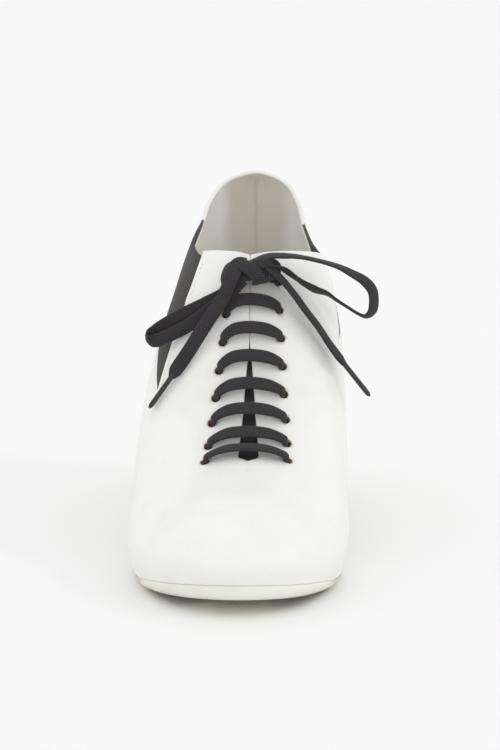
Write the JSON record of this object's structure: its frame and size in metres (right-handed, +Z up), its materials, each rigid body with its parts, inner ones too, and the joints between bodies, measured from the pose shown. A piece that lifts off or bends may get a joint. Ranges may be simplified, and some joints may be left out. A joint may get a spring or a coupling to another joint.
{
  "type": "heeled oxford shoe",
  "caption": "Closed heeled lace-up shoe: hollow leather shell with a keyhole throat, elastic side gores, flat lace tied in a bow, thin sole and covered block heel.",
  "frame": {"origin": "middle of the heel's ground face, on the floor", "axes": "+Z up from the floor, +Y towards the back of the heel (the toe points to -Y), -X towards the outer side of the foot"},
  "size_m": [0.0995, 0.2343, 0.1376],
  "materials": {
    "upper_leather": "smooth white, satin",
    "gore_elastic": "black ribbed elastic",
    "tongue_leather": "matt black",
    "insole_leather": "matt grey-beige",
    "sole": "painted off-white edge",
    "heel_cover": "smooth white, satin",
    "lift": "matt dark",
    "lace": "black woven cotton",
    "aglet": "black"
  },
  "bodies": {
    "root": {"upper": "upper_leather", "gore_lateral": "gore_elastic", "gore_medial": "gore_elastic", "tongue": "tongue_leather", "insole": "insole_leather", "outsole": "sole", "heel": "heel_cover", "top_lift": "lift", "lace_bar_1": "lace", "lace_bar_2": "lace", "lace_bar_3": "lace", "lace_bar_4": "lace", "lace_bar_5": "lace", "lace_bar_6": "lace", "lace_bar_7": "lace", "lace_bar_8": "lace", "lace_knot": "lace", "lace_loop_left": "lace", "lace_loop_right": "lace", "lace_end_left": "lace", "lace_end_right": "lace", "aglet_left": "aglet", "aglet_right": "aglet"}
  },
  "joints": []
}
